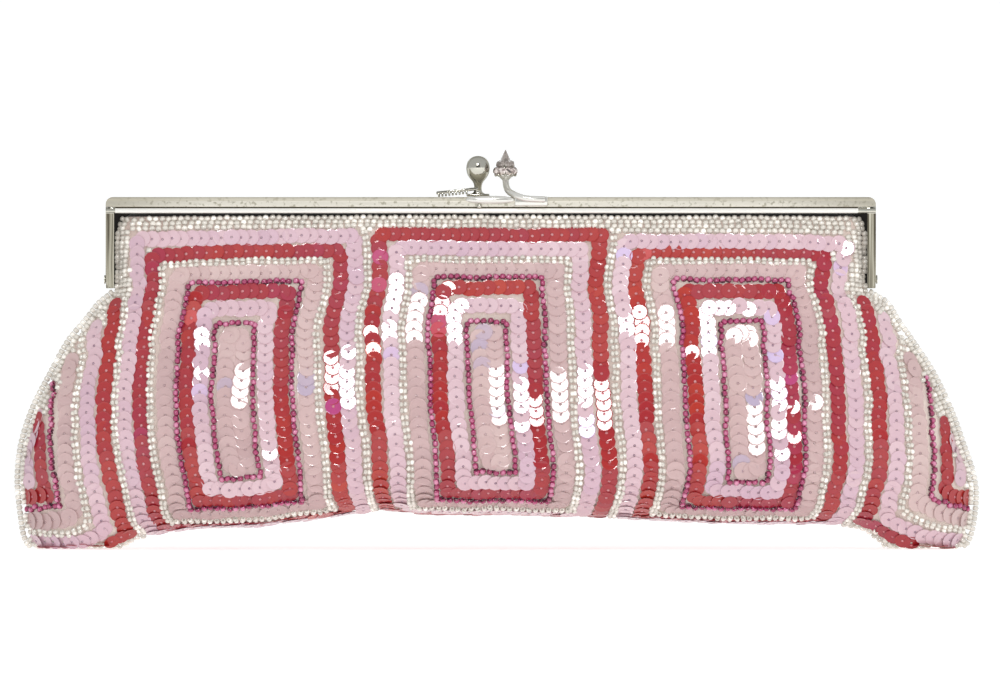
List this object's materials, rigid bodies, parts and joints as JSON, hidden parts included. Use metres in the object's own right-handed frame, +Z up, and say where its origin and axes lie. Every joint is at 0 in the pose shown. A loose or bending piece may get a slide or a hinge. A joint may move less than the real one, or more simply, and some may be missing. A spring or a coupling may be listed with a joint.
{
  "type": "sequin clutch bag with kiss-lock frame",
  "caption": "Crescent clutch pouch covered in sequins and seed beads, hung in a hinged metal frame closed by two crossing knobs.",
  "frame": {"origin": "on the floor, under the middle of the bag's overall width and depth", "axes": "+Z up from the feet to the knobs, +X along the bar to the right as seen from the front, -Y out of the front panel"},
  "size_m": [0.2871, 0.0502, 0.1185],
  "materials": {
    "beaded_cloth": "cloth paved with glossy sequins and seed beads in pink, red and cream bands",
    "nickel": "polished nickel plate with a slightly duller front band",
    "crystal": "faceted stones, clear to pale pink",
    "seed_beads": "clear silver-lined glass beads"
  },
  "bodies": {
    "root": {"front_panel": "beaded_cloth", "back_panel": "beaded_cloth", "front_frame": "nickel", "back_frame": "nickel", "hinge_pin_left": "nickel", "hinge_pin_right": "nickel", "front_clasp_arm": "nickel", "back_clasp_arm": "nickel", "clasp_rivet": "nickel", "crystal_knob": "crystal", "side_edging_left": "seed_beads", "side_edging_right": "seed_beads"}
  },
  "joints": []
}
